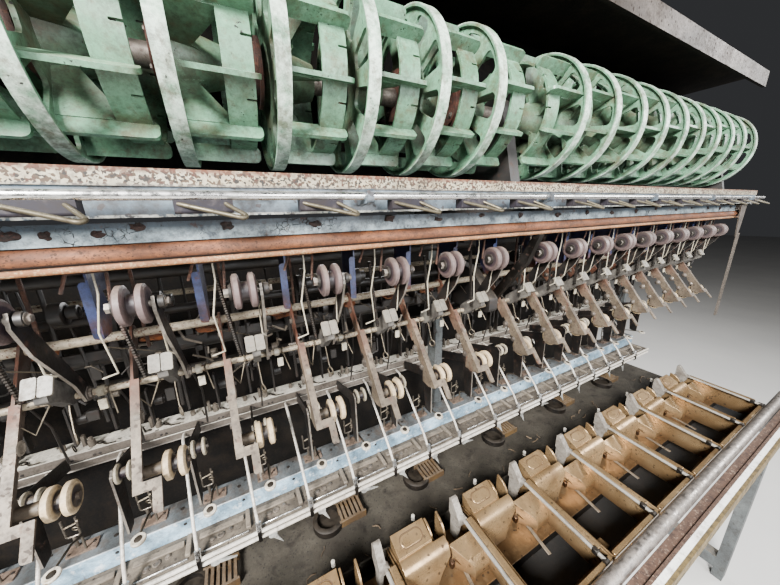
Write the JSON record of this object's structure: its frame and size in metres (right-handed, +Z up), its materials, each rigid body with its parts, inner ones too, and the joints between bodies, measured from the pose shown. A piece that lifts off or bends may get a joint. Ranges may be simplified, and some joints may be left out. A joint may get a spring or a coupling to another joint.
{
  "type": "silk reeling machine",
  "caption": "Long silk reeling machine bay with a row of green cage reels, rails, thread wheels, a blue bar and a front row of gold cocoon feeders.",
  "frame": {"origin": "on the floor under the middle of the bay", "axes": "+X along the machine, +Y from the feeders to the back, +Z up"},
  "size_m": [2.068, 0.706, 1.785],
  "materials": {
    "frame_grey": "worn grey paint",
    "bracket_grey": "dark painted casting",
    "hood_steel": "dull steel lip, black inside",
    "hood_black": "black",
    "shaft_steel": "oily steel",
    "disc_brown": "rust brown",
    "cream_rail": "flaked cream paint with rust specks",
    "grey_blue": "grey blue paint",
    "bright_steel": "bright steel",
    "dark_steel": "dark steel",
    "pale_blue": "peeling pale blue paint",
    "rusty_pipe": "orange rust",
    "worn_steel": "dull worn steel",
    "slate_blue": "slate blue paint",
    "mauve_plastic": "matt",
    "ivory_plastic": "matt, dusty",
    "grey_plastic": "matt",
    "cream_rod": "worn cream paint",
    "tan_steel": "rusty tan flat bar",
    "white_beam": "dusty white top",
    "light_blue": "light steel blue",
    "ceramic": "glazed",
    "dusty_tray": "dusty",
    "basin_dark": "dark, dusty",
    "tube_grey": "satin grey",
    "ledge_paint": "dusty brown strip and white edge",
    "gold_plastic": "glossy tan gold",
    "lever_steel": "grey white cast arm and bright rod",
    "reel_green": "worn mint green paint"
  },
  "bodies": {
    "frame": {"frame_posts": "frame_grey", "table_frame": "frame_grey", "reel_brackets": "bracket_grey", "rod_arms": "bracket_grey", "hood": "hood_steel", "back_panel": "hood_black", "reel_rail": "cream_rail", "guide_panel": "grey_blue", "lower_rail": "pale_blue", "rail_pipe": "rusty_pipe", "pipe_arm": "dark_steel", "hanging_strap": "worn_steel", "partition_plates": "slate_blue", "wheel_arms": "worn_steel", "thread_guides": "grey_plastic", "cross_rods": "cream_rod", "l_brackets": "tan_steel", "beam": "white_beam", "blue_bar": "light_blue", "stirrups": "worn_steel", "eyelets": "ceramic", "front_rods": "bright_steel", "connecting_rods": "bright_steel", "rod_tray": "dusty_tray", "basin": "basin_dark", "front_tube": "tube_grey", "front_ledges": "ledge_paint", "feeder_rails": "dark_steel"},
    "reels": {"reel_shaft": "shaft_steel", "friction_discs": "disc_brown", "reel_01": "reel_green", "reel_02": "reel_green", "reel_03": "reel_green", "reel_04": "reel_green", "reel_05": "reel_green", "reel_06": "reel_green", "reel_07": "reel_green", "reel_08": "reel_green", "reel_09": "reel_green", "reel_10": "reel_green", "reel_11": "reel_green", "reel_12": "reel_green", "reel_13": "reel_green", "reel_14": "reel_green", "reel_15": "reel_green", "reel_16": "reel_green", "reel_17": "reel_green", "reel_18": "reel_green", "reel_19": "reel_green", "reel_20": "reel_green"},
    "traverse": {"traverse_rod": "bright_steel", "guide_hooks": "dark_steel"},
    "upper_wheel_row": {"upper_wheels": "mauve_plastic"},
    "lower_wheel_row": {"lower_wheels": "ivory_plastic"},
    "small_wheel_row": {"small_wheels": "ivory_plastic"},
    "feeders": {"feeder_trays": "gold_plastic", "feeder_walls": "gold_plastic", "feeder_heads": "gold_plastic", "feeder_levers": "lever_steel", "feeder_bars": "gold_plastic"}
  },
  "joints": [
    {"name": "reels_turn", "type": "hinge", "parent": "frame", "child": "reels", "pos_m": [0, 0.015, 1.572], "axis": [1, 0, 0], "continuous": true},
    {"name": "traverse_slide", "type": "slide", "parent": "frame", "child": "traverse", "axis": [1, 0, 0], "range_m": [-0.02, 0.02]},
    {"name": "upper_wheels_turn", "type": "hinge", "parent": "frame", "child": "upper_wheel_row", "pos_m": [0, -0.073, 1.3175], "axis": [1, 0, 0], "continuous": true},
    {"name": "lower_wheels_turn", "type": "hinge", "parent": "frame", "child": "lower_wheel_row", "pos_m": [0, -0.061, 1.115], "axis": [1, 0, 0], "continuous": true},
    {"name": "small_wheels_turn", "type": "hinge", "parent": "frame", "child": "small_wheel_row", "pos_m": [0, 0.089, 1.016], "axis": [1, 0, 0], "continuous": true},
    {"name": "feeders_slide", "type": "slide", "parent": "frame", "child": "feeders", "axis": [1, 0, 0], "range_m": [-0.042, 0.13]}
  ]
}
